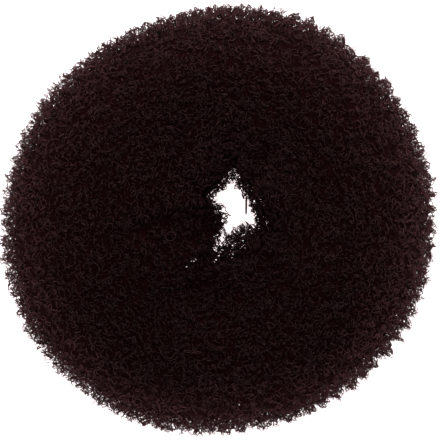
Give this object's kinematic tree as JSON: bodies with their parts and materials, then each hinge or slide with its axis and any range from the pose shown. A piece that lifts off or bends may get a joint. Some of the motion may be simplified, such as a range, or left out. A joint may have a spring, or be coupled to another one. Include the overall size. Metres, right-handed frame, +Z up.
{
  "type": "hair donut bun maker",
  "caption": "Fat soft ring of curly knitted nylon mesh rolled over itself, with a pinched hole that a ponytail is drawn through to shape a bun.",
  "frame": {"origin": "middle of the ring's underside, on the surface that it rests on", "axes": "+Z up along the hole; +Y towards the narrow back corner of the hole, +X to the right of it"},
  "size_m": [0.0902, 0.0888, 0.036],
  "materials": {
    "outer_mesh": "curly nylon monofilament, knitted open, brown black with a faint gloss",
    "rolled_core": "the same knitted nylon, pressed closer in the roll"
  },
  "bodies": {
    "root": {"outer_mesh": "outer_mesh", "rolled_core": "rolled_core"}
  },
  "joints": []
}
